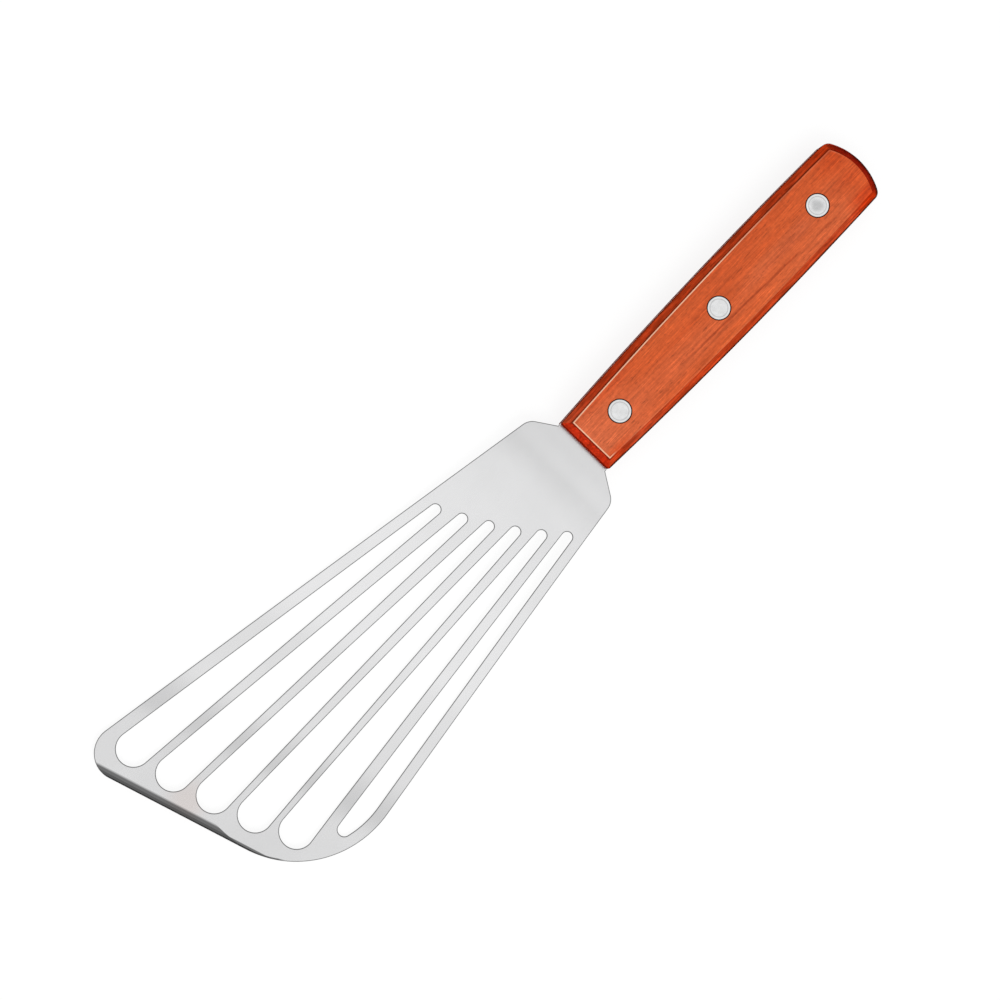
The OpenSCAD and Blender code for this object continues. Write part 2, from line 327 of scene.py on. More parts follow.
def handle_outline(d, corner_r=WOOD_CORNER_R):
    """The handle's outline moved in by d, as points with outward normals, the same number for
    each d. corner_r rounds its front corners."""
    q = max(corner_r, d)
    x = FRONT_X - q
    c = Vector((x, side_c.y + sqrt((side_r - q) ** 2 - (x - side_c.x) ** 2)))
    side_start = heading(c - side_c)
    arcs = ((c, q - d, 0, side_start), (side_c, side_r - d, side_start, side_end),
            (corner_c, BUTT_CORNER_R - d, side_end, butt_start),
            (butt_c, BUTT_R - d, butt_start, pi))
    half = []
    for (centre, r, a, b), n in zip(arcs, HANDLE_STEPS):
        for i in range(n + 1):
            t = a + (b - a) * i / n
            half.append(((centre.x + r * cos(t), centre.y + r * sin(t)), (cos(t), sin(t))))
    other = [((p[0], -p[1]), (n[0], -n[1])) for p, n in reversed(half[:-1])]
    return half + other


def blade_outline():
    """The outline of the whole sheet: the blade and the tang."""
    loop = [(FRONT_X, -NECK_HALF), neck_long]
    for before, p, after, r in ((neck_long, long_shoulder, long_corner, SHOULDER_R),
                                (long_shoulder, long_corner, short_corner, LONG_CORNER_R)):
        loop += round_corner(before, p, after, r, CORNER_ARC)[0]
    loop += big_arc
    loop += round_corner(short_corner, short_shoulder, neck_short, SHOULDER_R, CORNER_ARC)[0]
    loop += [neck_short, (FRONT_X, NECK_HALF)]
    return tidy(loop + [p for p, n in handle_outline(0, 0)], SIDE_STEP)


# The fan of slots: the point that it spreads from, the reach and heading of the first slot's front
# centre, and those of the last, shorter slot's
fan = (FRONT_X - LONG_ROOT / tan(LONG_ANGLE), 0)
first = crossing(moved(long_line, SLOT_FRONT_R + LONG_MARGIN),
                 moved(front_line, SLOT_FRONT_R + FRONT_MARGIN))
fan_reach = hypot(first[0] - fan[0], first[1] - fan[1])
fan_start = heading((first[0] - fan[0], first[1] - fan[1]))
slot_len = fan_reach - (FRONT_X + PLATE_LEN - fan[0]) / cos(fan_start)
side_reach = fan_reach - SLOTS * SLOT_STEP
side_offset = SIDE_SLOT_R + SHORT_MARGIN - right_of(short_line, fan)
side_heading = SHORT_ANGLE - asin(side_offset / side_reach)
fan_pitch = (side_heading - fan_start) / SLOTS


def placed(loop, angle):
    """A loop drawn along +X from the fan's point, turned to its direction."""
    return [(fan[0] + x * cos(angle) - y * sin(angle), fan[1] + x * sin(angle) + y * cos(angle))
            for x, y in loop]


def full_slot(i):
    front = fan_reach - i * SLOT_STEP
    rear = front - slot_len
    taper = asin((SLOT_FRONT_R - SLOT_REAR_R) / slot_len)
    loop = arc((front, 0), SLOT_FRONT_R, -pi / 2 - taper, pi / 2 + taper, SLOT_FRONT_ARC)
    loop += arc((rear, 0), SLOT_REAR_R, pi / 2 + taper, 3 * pi / 2 - taper, SLOT_REAR_ARC)
    return tidy(placed(loop, fan_start + i * fan_pitch), SIDE_STEP)


def side_slot():
    """The last slot. The big front corner clips it, and its tip is rounded at what is left."""
    taper = asin((SIDE_SLOT_R - SLOT_REAR_R) / slot_len)
    rear = Vector((side_reach - slot_len, 0))
    c = Vector(turned((big_corner_c.x - fan[0], big_corner_c.y - fan[1]), -side_heading))
    clip_r = SHORT_CORNER_R - SHORT_MARGIN
    lower = rear - (SLOT_REAR_R - SIDE_TIP_R) * Vector((sin(taper), cos(taper)))
    onward = Vector((cos(taper), -sin(taper)))
    back = (lower - c).dot(onward)
    run = -back + sqrt(back ** 2 - (lower - c).length ** 2 + (clip_r - SIDE_TIP_R) ** 2)
    tip = lower + run * onward
    turn = heading(tip - c)
    upper = heading(c - rear) + acos((SLOT_REAR_R - clip_r) / (c - rear).length)
    loop = arc(tip, SIDE_TIP_R, -pi / 2 - taper, turn, SLOT_REAR_ARC)
    loop += arc(c, clip_r, turn, upper, SLOT_CLIP_ARC)
    loop += arc(rear, SLOT_REAR_R, upper, 3 * pi / 2 - taper, SLOT_REAR_ARC)
    return tidy(placed(loop, side_heading), SIDE_STEP)


# The side view of the sheet: tang, neck, the sweep down to the bench, the level part and the toe,
# which turns up across its own direction
TOE_WAY = (cos(FRONT_SKEW), sin(FRONT_SKEW))
neck_bend_x = FRONT_X + NECK_RUN
toe_bend_x = FRONT_X + BLADE_LEN - TOE_RUN / cos(FRONT_SKEW)
flat_x = toe_bend_x - LEVEL_RUN
sweep_run = flat_x - neck_bend_x
sweep_angle = 2 * atan2(MID_Z - SHEET_T / 2, sweep_run)
sweep_r = sweep_run / sin(sweep_angle) - NECK_R
neck_end_x = neck_bend_x + NECK_R * sin(sweep_angle)
# How far in front of the toe's bend the ground bevel begins
BEVEL_FROM = TOE_RUN - BEVEL_W


def toe_distance(x, y):
    """How far a point lies in front of the toe's bend."""
    return (x - toe_bend_x) * TOE_WAY[0] + y * TOE_WAY[1]


def centre_line(x, y):
    """Height and slope of the sheet's middle, and the direction of its slope in plan."""
    s = toe_distance(x, y)
    if s > 0:
        bend = TOE_R * sin(TOE_ANGLE)
        a = asin(min(s, bend) / TOE_R)
        z = SHEET_T / 2 + TOE_R * (1 - cos(a)) + max(0, s - bend) * tan(TOE_ANGLE)
        return z, a, TOE_WAY
    if x < neck_bend_x:
        return MID_Z, 0.0, (1, 0)
    if x < neck_end_x:
        a = asin((x - neck_bend_x) / NECK_R)
        return MID_Z - NECK_R * (1 - cos(a)), -a, (1, 0)
    a = asin(max(0, flat_x - x) / sweep_r)
    return SHEET_T / 2 + sweep_r * (1 - cos(a)), -a, (1, 0)


def sheet_faces(x, y):
    """Heights of the upper and lower face, the sheet's normal and the upper face's normal."""
    z, slope, (ux, uy) = centre_line(x, y)
    rise = SHEET_T / 2 / cos(slope)
    normal = Vector((-sin(slope) * ux, -sin(slope) * uy, cos(slope)))
    ground = (TOE_RUN - toe_distance(x, y)) * (SHEET_T - EDGE_T) / BEVEL_W
    top, top_normal = rise, normal
    if EDGE_T - SHEET_T / 2 + ground < rise - SLACK:
        top = EDGE_T - SHEET_T / 2 + max(0, ground)
        a = slope - atan2(SHEET_T - EDGE_T, BEVEL_W)
        top_normal = Vector((-sin(a) * ux, -sin(a) * uy, cos(a)))
    return z + top, z - rise, normal, top_normal


def sheet_cuts():
    """Lines that divide the sheet's plan, across it and, on the toe, along the front edge."""
    sweep_cuts = range(1, int((flat_x - neck_end_x) / SWEEP_CUT))
    xs = [REAR_X + d for d in TANG_CUTS] + [neck_bend_x + d for d in NECK_CUTS]
    xs += [neck_end_x + SWEEP_CUT * i for i in sweep_cuts] + [flat_x]
    cuts = [((x, -CUT_HALF), (x, CUT_HALF)) for x in xs]
    ux, uy = TOE_WAY
    across = (CUT_HALF * uy, -CUT_HALF * ux)
    for s in TOE_CUTS + [BEVEL_FROM]:
        x, y = toe_bend_x + s * ux, s * uy
        cuts.append(((x + across[0], y + across[1]), (x - across[0], y - across[1])))
    return cuts


def sheet_edge(plan):
    """Rings round a closed edge of the sheet, from the lower face's border to the upper face's."""
    tops, bottoms = [], []
    steps = len(SHEET_MARKS) - 1
    for k, mark in enumerate(SHEET_MARKS):
        turn = pi / 2 * k / steps
        drop, tilt = STEEL_EDGE_R * (1 - cos(turn)), cos(turn)
        edge = inset(plan, -STEEL_EDGE_R * sin(turn))
        upper, lower = [], []
        for i, (p, q) in enumerate(zip(plan, edge)):
            a, b = plan[i - 1], plan[(i + 1) % len(plan)]
            outward = Vector((b[1] - a[1], a[0] - b[0], 0)).normalized() * sqrt(1 - tilt * tilt)
            top, bottom, normal, top_normal = sheet_faces(*p)
            rim = mark if p[0] > FRONT_X else 0.0
            upper.append(((q[0], q[1], top - drop), outward + top_normal * tilt, rim, 0.0))
            lower.append(((q[0], q[1], bottom + drop), outward - normal * tilt, rim, 0.0))
        tops.append(upper)
        bottoms.append(lower)
    return bottoms + tops[::-1]


def build_blade(material):
    hole_r = TUBE_D / 2 + HOLE_CLEAR
    holes = [tidy(arc((x, 0), hole_r, 0, 2 * pi, HOLE_ARC), SIDE_STEP) for x in RIVET_XS.values()]
    holes += [full_slot(i) for i in range(SLOTS)] + [side_slot()]
    outer = inset(blade_outline(), STEEL_EDGE_R + WITHIN)
    points, tris = filled(outer, [inset(h, -STEEL_EDGE_R) for h in holes], sheet_cuts())
    skin = Skin()
    for t in tris:
        mid = [sum(points[i][k] for i in t) / 3 for k in (0, 1)]
        upper, lower = [], []
        for i in t:
            x, y = points[i]
            top, bottom, normal, top_normal = sheet_faces(x, y)
            # The two faces that meet at the bevel's crease keep their own normals there
            if toe_distance(*mid) < BEVEL_FROM:
                top_normal = normal
            elif abs(toe_distance(x, y) - BEVEL_FROM) < ON_LINE:
                top_normal = sheet_faces(x + WITHIN * TOE_WAY[0], y + WITHIN * TOE_WAY[1])[3]
            upper.append(((x, y, top), top_normal))
            lower.append(((x, y, bottom), -normal))
        skin.face(upper)
        skin.face(lower[::-1])
    for loop in boundary(tris):
        skin.bands(sheet_edge([points[i] for i in loop]))
    skin.piece("blade_sheet", material, "blade_steel", "blade")


def ramp(value, start, rise):
    """0 up to the start, then rising to 1."""
    return min(1, max(0, (value - start) / rise))


def scale_profile():
    """From a scale's inner face up its wall and chamfer: distance in from the outline, height,
    tilt of the normal, and the rim, near, far and butt marks."""
    shoulder = SCALE_T - CHAMFER
    lift, reach = WOOD_SIDE_R * tan(pi / 8), WOOD_TOP_R * tan(pi / 8)
    profile = [(WOOD_INNER_R * (1 - cos(t)), WOOD_INNER_R * (1 + sin(t)), t, 1.0, 0.0, 0.0)
               for t in (-pi / 2, -pi / 3, -pi / 6, 0)]
    for i, (near, far) in enumerate(WALL_MARKS):
        t = i * pi / 16
        profile.append((WOOD_SIDE_R * (1 - cos(t)), shoulder - lift + WOOD_SIDE_R * sin(t), t,
                        1.0, near, far))
    low = WOOD_SIDE_R * (1 - cos(pi / 4))
    profile += [(low + d, shoulder + low + d, pi / 4, 1.0, 0.0, far, butt)
                for d, far, butt in CHAMFER_MARKS]
    crease = CHAMFER + reach - WOOD_TOP_R * cos(pi / 4) - CREASE_W
    profile.append((crease, shoulder + crease, pi / 4, 1.0, 0.0, 0.0))
    for i, (rim, near, far) in enumerate(TOP_MARKS):
        t = (4 + i) * pi / 16
        profile.append((CHAMFER + reach - WOOD_TOP_R * cos(t),
                        SCALE_T - WOOD_TOP_R * (1 - sin(t)), t, rim, near, far))
    return profile


def build_scale(name, material, node, up):
    """A scale lying on its inner face at the tang; up is 1 for the upper one, -1 for the lower."""
    base = MID_Z + up * SHEET_T / 2
    turns = [2 * pi * i / CIRCLE_STEPS for i in range(CIRCLE_STEPS)]

    def at(p, z, n, *marks):
        return ((p[0], p[1], base + up * z), (n[0], n[1], up * n[2]), *marks)

    def ring(d, z, tilt, rim, near, far, butt=0.0):
        """A ring round the scale, whose edge mark, which paints highlight and shade, goes by the
        way that the wall faces.
        """
        out = []
        for p, n in handle_outline(d + WITHIN):
            edge = far + ramp(max(n[0], -n[1]), NEAR_FROM, MARK_RISE) * (near - far)
            edge += butt * ramp(-n[0], BUTT_FROM, MARK_RISE)
            out.append(at(p, z, (n[0] * cos(tilt), n[1] * cos(tilt), sin(tilt)), rim, edge))
        return out

    def circle(x, r, z, tilt, rim=1.0, edge=-1.0):
        """A ring round a rivet's hole, whose normals point at the axis where tilt is 0. Its edge
        mark paints shade unless given.
        """
        return [at((x + r * cos(a), r * sin(a)), z,
                   (-cos(a) * cos(tilt), -sin(a) * cos(tilt), sin(tilt)), rim, edge)
                for a in turns]

    skin = Skin()
    flip = up < 0
    profile = scale_profile()
    skin.bands([ring(*p) for p in profile], flip)

    head_r, tube_r = HEAD_D / 2 + HOLE_CLEAR, TUBE_D / 2 + HOLE_CLEAR
    mouth_r = head_r + HOLE_RIM_R + HOLE_CREASE_W
    seat = SCALE_T - HEAD_T
    # Shade is painted on each hole from its rounded rim down, a dark ring round the rivet's head
    for x in RIVET_XS.values():
        mouth = [circle(x, mouth_r, SCALE_T, pi / 2, 0.0, 0.0)]
        for t in (0, pi / 6, pi / 3, pi / 2):
            mouth.append(circle(x, head_r + HOLE_RIM_R * (1 - sin(t)),
                                SCALE_T - HOLE_RIM_R * (1 - cos(t)), pi / 2 - t))
        skin.bands(mouth + [circle(x, head_r, seat, 0)], flip)
        skin.bands([circle(x, head_r, seat, pi / 2), circle(x, tube_r, seat, pi / 2)], flip)
        skin.bands([circle(x, tube_r, seat, 0), circle(x, tube_r, 0, 0)], flip)
    for z, d, hole_r, side in ((SCALE_T, profile[-1][0], mouth_r, 1),
                               (0, profile[0][0], tube_r, -1)):
        outer = tidy([p for p, n in handle_outline(d + WITHIN)])
        holes = [[(x + hole_r * cos(a), hole_r * sin(a)) for a in turns]
                 for x in RIVET_XS.values()]
        points, tris = filled(outer, holes)
        for t in tris:
            corners = [at(points[i], z, (0, 0, side)) for i in t]
            skin.face(corners if side * up > 0 else corners[::-1])
    skin.piece(name, material, "handle_wood", node)


def quarter(r, depth, size, start, end):
    """A rounded edge of a turned profile about a centre at this radius and depth."""
    turns = (start + (end - start) * i / RIM_STEPS for i in range(RIM_STEPS + 1))
    return [(r + size * cos(t), depth - size * sin(t), t) for t in turns]


def rivet_profiles():
    """A rivet's upper half, a head with a post, and its lower half, a head with a tube. Each point
    is a radius, a depth below the outer face and the normal's tilt, and then its marks if any."""
    head_r, tube_r, post_r = HEAD_D / 2, TUBE_D / 2, POST_D / 2
    bore_r = post_r + POST_CLEAR
    ring_r = (RING_IN + RING_OUT) / 2
    tip = HANDLE_T - HEAD_T - TIP_GAP
    head = [(0, 0, pi / 2), (HEAD_SPLIT_R, 0, pi / 2), (RING_IN, 0, pi / 2),
            (ring_r, RING_DEPTH, pi / 2 + RING_TILT, 1.0, 0.0),
            (ring_r, RING_DEPTH, pi / 2 - RING_TILT, 1.0, 0.0), (RING_OUT, 0, pi / 2)]
    rim = quarter(head_r - HEAD_RIM_R, HEAD_RIM_R, HEAD_RIM_R, pi / 2, 0)
    head += rim[:1] + [(*p, 1.0, 0.0) for p in rim[1:]]
    head += [(head_r, HEAD_T, 0), (head_r, HEAD_T, -pi / 2)]
    post = head + [(post_r, HEAD_T, -pi / 2), (post_r, HEAD_T, 0)]
    post += quarter(post_r - SHANK_RIM_R, tip - SHANK_RIM_R, SHANK_RIM_R, 0, -pi / 2)
    post += [(0, tip, -pi / 2)]
    socket = head + [(tube_r, HEAD_T, -pi / 2), (tube_r, HEAD_T, 0), (tube_r, tip, 0),
                     (tube_r, tip, -pi / 2), (bore_r, tip, -pi / 2), (bore_r, tip, pi),
                     (bore_r, HEAD_T, pi), (bore_r, HEAD_T, -pi / 2), (0, HEAD_T, -pi / 2)]
    return post, socket


def build_rivet_half(name, material, node, x, up, profile):
    """Turns a profile round a rivet's axis; up is 1 for an upper half and -1 for a lower one."""
    face_z = HANDLE_T if up > 0 else 0

    def ring(r, depth, tilt, *marks):
        return [((x + r * cos(a), r * sin(a), face_z - up * depth),
                 (cos(a) * cos(tilt), sin(a) * cos(tilt), up * sin(tilt)), *marks)
                for a in (2 * pi * i / CIRCLE_STEPS for i in range(CIRCLE_STEPS))]

    skin = Skin()
    skin.bands([ring(*p) for p in profile], up > 0)
    skin.piece(name, material, "rivet_metal", node)


class Nodes:
    """A node tree that is filled by short calls."""

    def __init__(self, tree):
        self.tree = tree
        tree.nodes.clear()

    def give(self, socket, value):
        """Links a socket to another one, or sets it to a constant."""
        if isinstance(value, bpy.types.NodeSocket):
            self.tree.links.new(value, socket)
        else:
            socket.default_value = value

    def add(self, kind, values=None, **settings):
        """Adds a node. values gives its inputs by name or number."""
        node = self.tree.nodes.new(kind)
        for key, value in settings.items():
            setattr(node, key, value)
        for key, value in (values or {}).items():
            self.give(node.inputs[key], value)
        return node

    def math(self, operation, a, b=0.0):
        return self.add("ShaderNodeMath", {0: a, 1: b}, operation=operation).outputs[0]

    def product(self, value, *others):
        for other in others:
            value = self.math("MULTIPLY", value, other)
        return value

    def vector_math(self, operation, a, b, output="Value"):
        node = self.add("ShaderNodeVectorMath", {0: a, 1: b}, operation=operation)
        return node.outputs[output]

    def mark(self, name):
        return self.add("ShaderNodeAttribute", attribute_name=name).outputs["Fac"]

    def xyz(self, vector):
        return self.add("ShaderNodeSeparateXYZ", {0: vector}).outputs

    def noise(self, vector, scale, detail=2.0, roughness=0.5, distortion=0.0):
        return self.add("ShaderNodeTexNoise", {
            "Vector": vector, "Scale": scale, "Detail": detail,
            "Roughness": roughness, "Distortion": distortion}).outputs["Fac"]

    def grain(self, vector, per_metre, offset=(0, 0, 0), detail=2, roughness=0.5, distortion=0.0):
        """Noise with its own number of features per metre along each axis."""
        vector = self.add("ShaderNodeMapping", {
            "Vector": vector, "Scale": per_metre, "Location": offset}).outputs[0]
        return self.noise(vector, 1, detail, roughness, distortion)

    def span(self, value, low, high, to_low=0.0, to_high=1.0):
        """Maps low to to_low and high to to_high, and nothing beyond them."""
        return self.add("ShaderNodeMapRange", {
            "Value": value, "From Min": low, "From Max": high,
            "To Min": to_low, "To Max": to_high}).outputs[0]

    def zone(self, place, low, high, to_low=0.0, to_high=1.0):
        """A span of a place or a distance, from low to high in millimetres."""
        return self.span(place, low * MM, high * MM, to_low, to_high)

    def soft_zone(self, place, low, high):
        """0 to 1 as a place goes from low to high in millimetres, with a soft start and end."""
        return self.add("ShaderNodeMapRange", {
            "Value": place, "From Min": low * MM, "From Max": high * MM},
            interpolation_type="SMOOTHSTEP").outputs[0]

    def blend(self, factor, a, b, mode="MIX"):
        node = self.add("ShaderNodeMix", data_type="RGBA", blend_type=mode)
        for name, value in (("Factor_Float", factor), ("A_Color", a), ("B_Color", b)):
            self.give(next(i for i in node.inputs if i.identifier == name), value)
        return next(o for o in node.outputs if o.identifier == "Result_Color")

    def tint(self, colour, by, share=None):
        """The colour multiplied by another one, in full or by a share."""
        tinted = self.blend(1.0, colour, by, "MULTIPLY")
        return tinted if share is None else self.blend(share, colour, tinted)

    def shade(self, colour, tone, share=None):
        """The colour multiplied by a number, in full or by a share."""
        grey = self.add("ShaderNodeCombineColor", {0: tone, 1: tone, 2: tone}).outputs[0]
        return self.tint(colour, grey, share)

    def bump(self, strength, depth, height):
        return self.add("ShaderNodeBump", {
            "Strength": strength, "Distance": depth * MM, "Height": height}).outputs[0]

    def surface(self, **values):
        """Ends a material with a Principled shader; _ stands for a space in an input's name."""
        inputs = {key.replace("_", " "): value for key, value in values.items()}
        shader = self.add("ShaderNodeBsdfPrincipled", inputs)
        self.add("ShaderNodeOutputMaterial", {"Surface": shader.outputs[0]})


def new_material(name):
    m = bpy.data.materials.new(name)
    m.use_nodes = True
    return m, Nodes(m.node_tree)


# Colours, linear. The tints multiply another colour
WHITE = (1, 1, 1, 1)
# The third is a painted warm reflection for the steel
STEEL, RIVET, WARM_REFLECTION_TINT = (0.785, 0.785, 0.79, 1), (0.78, 0.785, 0.79, 1), (0.98, 0.91, 0.88, 1)
WOOD_DEEP, WOOD_WARM = (0.60, 0.086, 0.018, 1), (0.71, 0.122, 0.030, 1)
WOOD_BROAD, WOOD_FRONT = (0.71, 0.152, 0.056, 1), (0.74, 0.165, 0.065, 1)
# The second is painted shade, for the dark lines beside the wood's edges and round the rivets
WOOD_STREAK, WOOD_CREASE_SHADE = (0.30, 0.030, 0.004, 1), (0.025, 0.005, 0.003, 1)
# A highlight painted along the wood's edges
WOOD_HIGHLIGHT = (1.0, 0.62, 0.42, 1)
# End grain, painted as shaded at the butt and lit at the front
BUTT_GRAIN_SHADED, FRONT_GRAIN_LIT = (0.36, 0.011, 0.005, 1), (0.72, 0.048, 0.010, 1)
BUTT_TINT, CORNER_TINT = (0.93, 0.74, 0.55, 1), (0.98, 0.65, 0.42, 1)
FLANK_TINT, PALE_TINT = (0.95, 0.76, 0.62, 1), (1.0, 1.17, 1.5, 1)
# Painted shade for the scales' sides and upright walls
SIDE_SHADE_TINT, WALL_SHADE_TINT = (0.84, 0.42, 0.42, 1), (0.3, 0.25, 0.25, 1)
# Features per metre of each grain along x, y and z, and of each even noise
STEEL_GRAIN = (50, 3000, 3000)
FIGURE, BROAD, FIBRE, FLECK = (12, 190, 190), (7, 55, 55), (90, 1300, 1300), (330, 2100, 2100)
PALE, CUT, BREAKS, WANDER = (110, 3000, 3000), (130, 900, 900), (80, 300, 300), (35, 0, 0)
STEEL_CLOUD, WOOD_MOTTLE, RIVET_MOTTLE = 45, 800, 650

# Zones of the steel. Each is a pair of places, and the look changes from one to the other
PLATE_REAR, PLATE_FRONT, PLATE_ACROSS = (46, 66), (81, 68), (-14, 14)
TANG_END = (FRONT_X - 0.2, FRONT_X)
# Forward from the toe's bend, where shade and reflections are painted on the steel: the first three
# with the steel's level beyond them
TOE_REFLECTION_LEVELS = ((-46, -33, 0.93), (-12, 1, 0.82), (2, 10, 1.17))
BEVEL, FRONT_EDGE = (BEVEL_FROM - 0.05, BEVEL_FROM + 0.15), (TOE_RUN - 0.65, TOE_RUN - 0.45)
LINE_END = (TOE_RUN - 3.2, TOE_RUN - 2.0)
# Out from the centre of the big front corner
LINE_SIDE = (SHORT_CORNER_R - 0.75, SHORT_CORNER_R - 0.5)
# Where the faint warm reflection is painted, in metres, and in from its border
WARM_REFLECTION_AT, WARM_REFLECTION_ZONE = (0.2205, -0.0125, 0.003), (9, 2)
# Zones of the wood
FRONT_END, BUTT_END = (30, 56), (-49, -57)
# The redder corners: across, and away from a place on the handle's axis
CORNER_SIDE, CORNER_ENDS, CORNERS_MID = (5.5, 7.5), (47, 53.5), -1.5
FLANK_SIDE, FLANK_REAR, FLANK_FRONT = (-5, -7), (26, 38), (56, 48)
# The paler patch: in from its border to its own axis, and its front and rear ends
PATCH_SIDE, PATCH_Y, PATCH_FRONT, PATCH_REAR = (3.5, 0.8), 0.8, (-6, -16), (-44, -36)
# The dark streak: its place across the handle at x = 0, its slope, how far it wanders, its width
# and its front end
STREAK_Y, STREAK_SLOPE, STREAK_WANDER = 4.1, -0.04, 1.2
STREAK_SIDE, STREAK_FRONT = (0.1, 0.5), (22, 8)
# Where the painted highlight fades out towards the rear
HIGHLIGHT_REAR = (-36, -8)
# The darker middle of the rear rivet's head, in from its border
RIVET_MIDDLE = (2.8, 0.8)


def steel_material():
    """Satin steel, with darker zones and a dark ground bevel painted as shade and reflections where
    the photograph shows them.
    """
    m, t = new_material("satin_steel")
    where = t.add("ShaderNodeTexCoord").outputs["Object"]
    rim = t.mark("rim")
    grain = t.grain(where, STEEL_GRAIN, detail=3, roughness=0.6)
    cloud = t.noise(where, STEEL_CLOUD, detail=3, roughness=0.55)
    # Painted shade darkens the sheet's rounded edges, by their rim mark
    tone = t.product(t.span(cloud, 0.3, 0.7, 0.97, 1.03), t.span(grain, 0.25, 0.75, 0.985, 1.015),
                     t.span(rim, 0.1, 0.9, 1.0, 0.2))
    # Painted shade: the plate is darker behind the slots
    x, y, _ = t.xyz(where)
    darker_zone = t.product(t.soft_zone(x, *PLATE_REAR), t.soft_zone(x, *PLATE_FRONT),
                     t.zone(y, *PLATE_ACROSS, 0.17, 0.11))
    tone = t.product(tone, t.math("SUBTRACT", 1.0, darker_zone))
    # Painted shade: so is the tang's edge, between the scales
    tone = t.product(tone, t.zone(x, *TANG_END, 0.72, 1.0))
    # s runs forward from the toe's bend. A darker reflection is painted there, and less so in front
    # of it
    s = t.vector_math("DOT_PRODUCT", where, (*TOE_WAY, 0))
    s = t.math("SUBTRACT", s, toe_bend_x * MM * cos(FRONT_SKEW))
    for low, high, level in TOE_REFLECTION_LEVELS:
        tone = t.product(tone, t.span(t.soft_zone(s, low, high), 0.0, 1.0, 1.0, level))
    # Painted shade: the ground bevel is dark, most of all along the front edge
    tone = t.product(tone, t.zone(s, *BEVEL, 1.0, 0.42), t.zone(s, *FRONT_EDGE, 1.0, 0.25))
    # The bevel's painted shade runs on as a thin dark line for a short way round the big front
    # corner
    plan = t.vector_math("MULTIPLY", where, (1, 1, 0), "Vector")
    reach = t.vector_math("DISTANCE", plan, (big_corner_c.x * MM, big_corner_c.y * MM, 0))
    line = t.product(t.zone(s, *LINE_END), t.zone(reach, *LINE_SIDE))
    tone = t.math("MINIMUM", tone, t.span(line, 0.0, 1.0, 1.4, 0.2))
    # A faint warm reflection is painted on the steel near the front
    warm_reflection = t.product(t.soft_zone(t.vector_math("DISTANCE", where, WARM_REFLECTION_AT), *WARM_REFLECTION_ZONE),
                      t.span(cloud, 0.3, 0.5, 0.5, 1.0))
    colour = t.tint(t.shade(STEEL, tone), WARM_REFLECTION_TINT, warm_reflection)
    rough = t.math("ADD", t.span(grain, 0.2, 0.8, 0.18, 0.23), t.span(cloud, 0.3, 0.7, -0.02, 0.02))
    rough = t.math("ADD", rough, t.span(rim, 0.2, 1.0, 0.0, 0.15))
    t.surface(Base_Color=colour, Metallic=1.0, Roughness=rough, Normal=t.bump(0.02, 0.02, grain))
    return m


